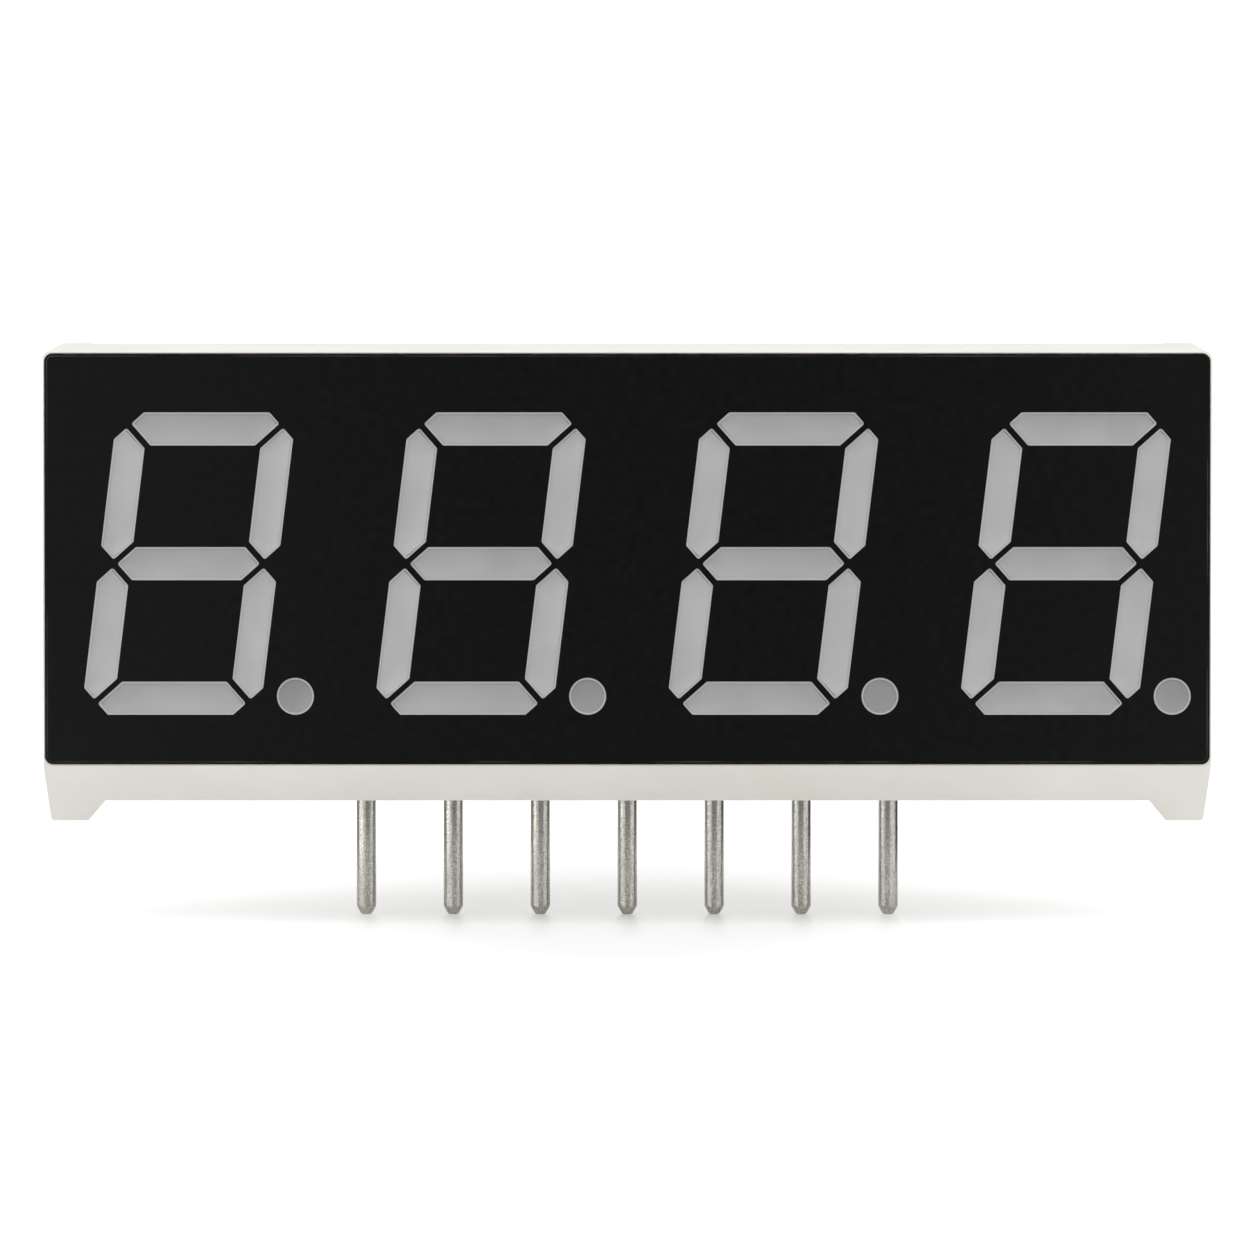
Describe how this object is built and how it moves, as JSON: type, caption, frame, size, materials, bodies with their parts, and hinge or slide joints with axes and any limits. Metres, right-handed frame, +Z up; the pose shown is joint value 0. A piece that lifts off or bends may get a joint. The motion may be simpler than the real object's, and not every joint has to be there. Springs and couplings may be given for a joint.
{
  "type": "seven segment display module",
  "caption": "Upright seven segment display: black face with slanted grey digits and round points, white housing on feet, and a row of straight pins below.",
  "frame": {"origin": "on the middle pin's axis, in the plane under the two feet", "axes": "+X along the pin row to the right as the face is read, +Y from the face to the back, +Z up"},
  "size_m": [0.0336, 0.0077, 0.0166],
  "materials": {
    "white_housing": "fine moulded satin",
    "black_face": "satin printed layer",
    "segment_resin": "cloudy cast resin",
    "light_chip": "sawn",
    "bond_wire": "drawn",
    "board_laminate": "satin",
    "tinned_pin": "dull tinned, lightly scratched",
    "solder": "bright",
    "potting_resin": "poured, glossy"
  },
  "bodies": {
    "root": {"housing": "white_housing", "face_mask": "black_face", "digit_1_segment_a": "segment_resin", "digit_1_segment_b": "segment_resin", "digit_1_segment_c": "segment_resin", "digit_1_segment_d": "segment_resin", "digit_1_segment_e": "segment_resin", "digit_1_segment_f": "segment_resin", "digit_1_segment_g": "segment_resin", "digit_1_point": "segment_resin", "digit_1_light_chips": "light_chip", "digit_1_bond_wires": "bond_wire", "digit_2_segment_a": "segment_resin", "digit_2_segment_b": "segment_resin", "digit_2_segment_c": "segment_resin", "digit_2_segment_d": "segment_resin", "digit_2_segment_e": "segment_resin", "digit_2_segment_f": "segment_resin", "digit_2_segment_g": "segment_resin", "digit_2_point": "segment_resin", "digit_2_light_chips": "light_chip", "digit_2_bond_wires": "bond_wire", "digit_3_segment_a": "segment_resin", "digit_3_segment_b": "segment_resin", "digit_3_segment_c": "segment_resin", "digit_3_segment_d": "segment_resin", "digit_3_segment_e": "segment_resin", "digit_3_segment_f": "segment_resin", "digit_3_segment_g": "segment_resin", "digit_3_point": "segment_resin", "digit_3_light_chips": "light_chip", "digit_3_bond_wires": "bond_wire", "digit_4_segment_a": "segment_resin", "digit_4_segment_b": "segment_resin", "digit_4_segment_c": "segment_resin", "digit_4_segment_d": "segment_resin", "digit_4_segment_e": "segment_resin", "digit_4_segment_f": "segment_resin", "digit_4_segment_g": "segment_resin", "digit_4_point": "segment_resin", "digit_4_light_chips": "light_chip", "digit_4_bond_wires": "bond_wire", "circuit_board": "board_laminate", "pin_1": "tinned_pin", "pin_2": "tinned_pin", "pin_3": "tinned_pin", "pin_4": "tinned_pin", "pin_5": "tinned_pin", "pin_6": "tinned_pin", "pin_7": "tinned_pin", "solder_joints": "solder", "back_potting": "potting_resin"}
  },
  "joints": []
}
